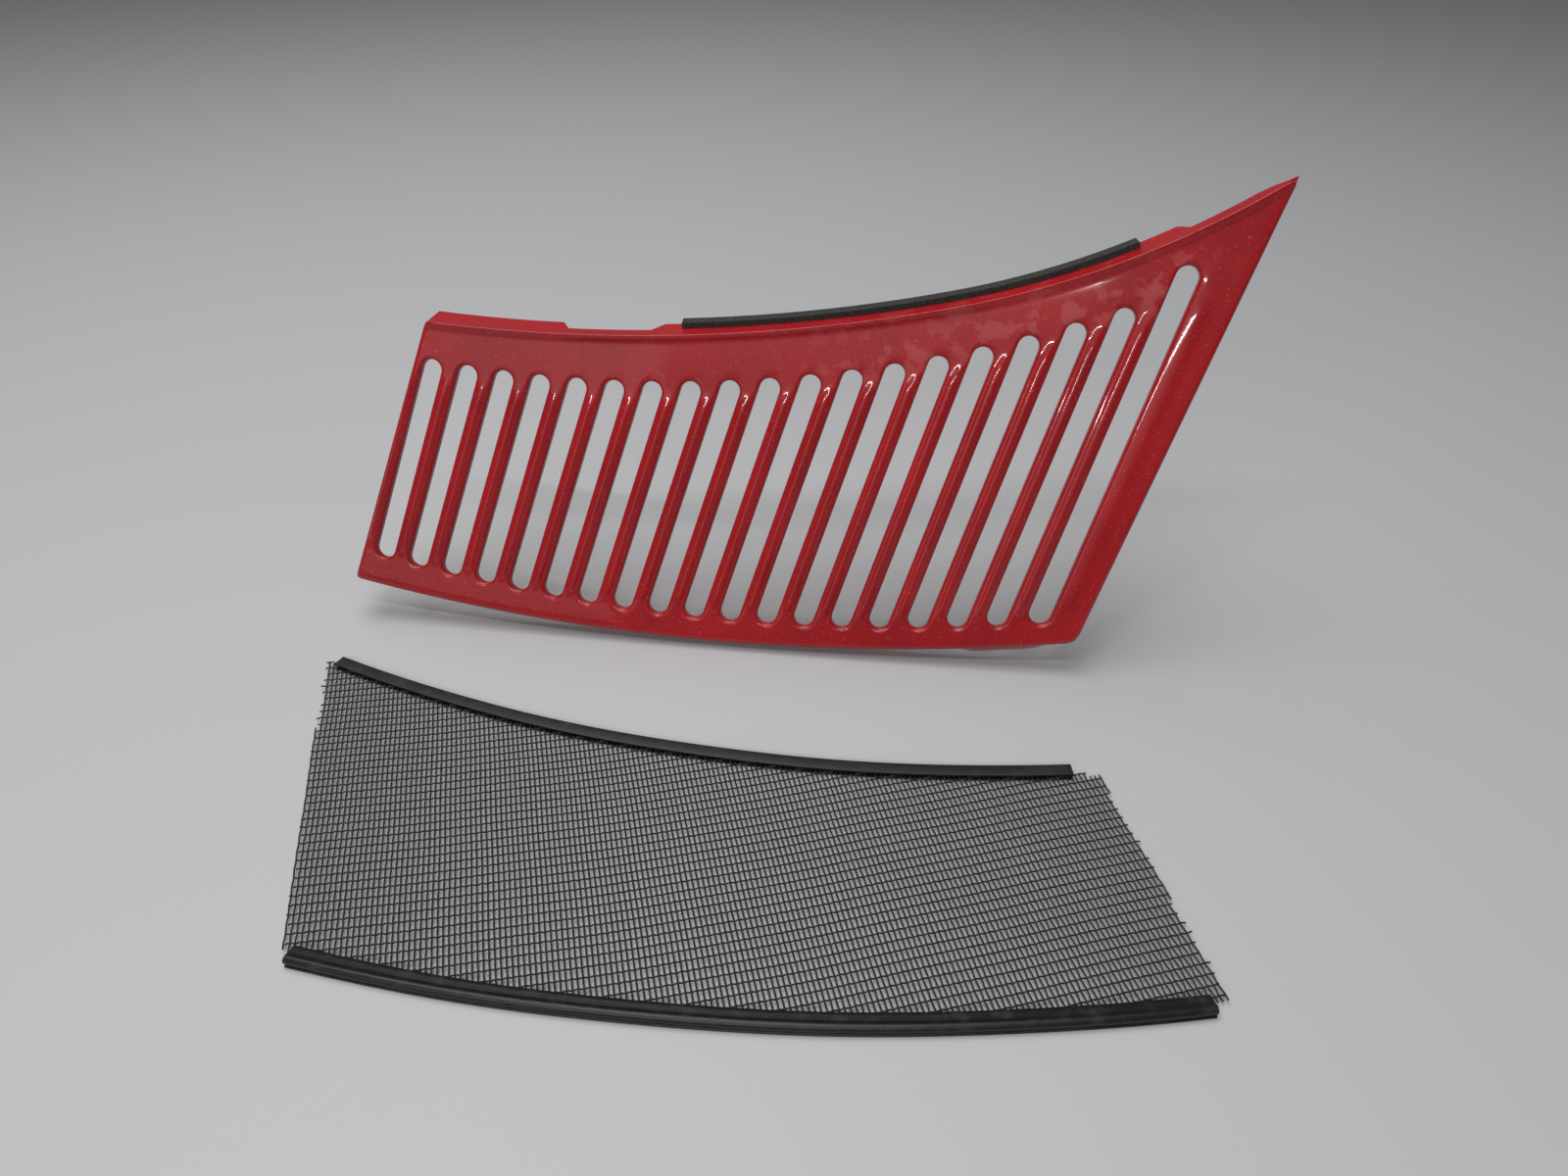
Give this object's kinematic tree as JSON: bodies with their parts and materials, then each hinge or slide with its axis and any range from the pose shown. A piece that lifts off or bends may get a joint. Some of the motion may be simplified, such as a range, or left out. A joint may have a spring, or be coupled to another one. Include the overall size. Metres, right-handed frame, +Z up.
{
  "type": "slotted cowl air intake grille with insect screen",
  "caption": "Red pressed-steel air intake grille with slanted slots, a rear foam seal and a loose black wire insect screen with edge trims.",
  "frame": {"origin": "on the floor under the middle of the panel's lower edge, where the leaning panel stands", "axes": "+Z up; X level along the panel's face, to the right when looking at its front; +Y from the screen towards the back of the leaning panel"},
  "size_m": [0.4649, 0.3221, 0.2301],
  "materials": {
    "red_paint": "gloss, weathered",
    "foam": "matte",
    "stud_steel": "zinc plated",
    "screen_wire": "satin",
    "trim_plastic": "satin",
    "trim_rubber": "satin"
  },
  "bodies": {
    "grille": {"grille_panel": "red_paint", "rear_seal_strip": "foam", "mounting_studs": "stud_steel"},
    "screen": {"screen_cross_wires": "screen_wire", "screen_long_wires": "screen_wire", "screen_rear_trim": "trim_plastic", "screen_front_trim": "trim_rubber"}
  },
  "joints": [
    {"name": "screen_lift", "type": "slide", "parent": "grille", "child": "screen", "axis": [0, 0, 1], "range_m": [0, 0.25]}
  ]
}
